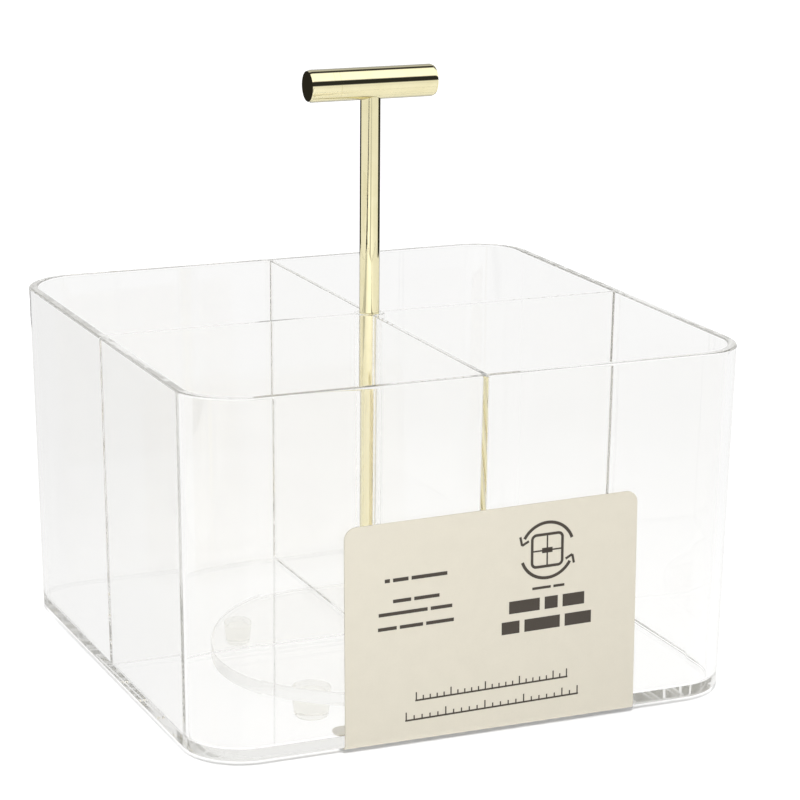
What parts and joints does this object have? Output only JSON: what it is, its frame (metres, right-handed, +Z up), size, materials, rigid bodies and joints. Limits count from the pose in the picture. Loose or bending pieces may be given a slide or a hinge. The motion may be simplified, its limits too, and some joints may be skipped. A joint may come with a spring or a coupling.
{
  "type": "rotating desk organizer",
  "caption": "Clear square desk organizer with crossed dividers, a gold T handle on a central rod, and a clear turntable disc on soft feet.",
  "frame": {"origin": "on the desk, under the turning axis, in the middle of the base", "axes": "+Z up along the turning axis, +X along the front face towards the right, -Y out of the front face, where the card is"},
  "size_m": [0.166, 0.1661, 0.184],
  "materials": {
    "clear_tray": "gloss",
    "clear_divider": "gloss",
    "clear_disc": "gloss",
    "gold": "polished",
    "steel": "satin",
    "white_plastic": "matte",
    "clear_rubber": "soft gloss",
    "card": "uncoated"
  },
  "bodies": {
    "base": {"turntable_disc": "clear_disc", "bumper_back_right": "clear_rubber", "bumper_back_left": "clear_rubber", "bumper_front_left": "clear_rubber", "bumper_front_right": "clear_rubber", "upper_slip_washer": "white_plastic", "lower_slip_washer": "white_plastic"},
    "tray": {"tray_shell": "clear_tray", "divider_right": "clear_divider", "divider_back": "clear_divider", "divider_left": "clear_divider", "divider_front": "clear_divider", "socket_tube": "clear_divider", "handle_rod": "gold", "handle_bar": "gold", "handle_stud": "steel", "pivot_screw": "steel", "pivot_washer": "steel", "pivot_bush": "steel", "info_card": "card"}
  },
  "joints": [
    {"name": "tray_spin", "type": "hinge", "parent": "base", "child": "tray", "pos_m": [0, 0, 0.011], "axis": [0, 0, 1], "continuous": true}
  ]
}
